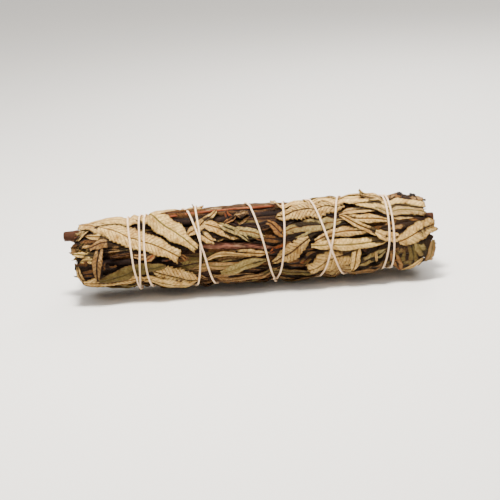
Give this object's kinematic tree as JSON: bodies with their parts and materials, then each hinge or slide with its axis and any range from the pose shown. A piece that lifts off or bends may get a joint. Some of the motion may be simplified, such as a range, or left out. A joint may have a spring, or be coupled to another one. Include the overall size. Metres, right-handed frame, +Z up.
{
  "type": "sage bunch",
  "caption": "Roll of dried sage leaves and twigs laid lengthwise, pressed together and bound with a cotton string wound along it and back, lying on its side.",
  "frame": {"origin": "on the surface that the roll lies on, under the middle of its bounding box", "axes": "+X along the roll, towards the end that has no long stem end standing out, +Z up, -Y towards the side that the picture shows"},
  "size_m": [0.2106, 0.0492, 0.0486],
  "materials": {
    "dry_leaf": "matt, veined and slightly felted",
    "bark": "dry, wrinkled bark",
    "young_bark": "smooth reddish bark",
    "cotton": "undyed twisted cotton"
  },
  "bodies": {
    "root": {"leaf_bunch": "dry_leaf", "stem_upper": "bark", "stem_middle": "bark", "stem_lower": "bark", "stem_top": "bark", "stem_heart": "bark", "stem_back_high": "bark", "stem_back_low": "bark", "twig_red": "young_bark", "string": "cotton"}
  },
  "joints": []
}
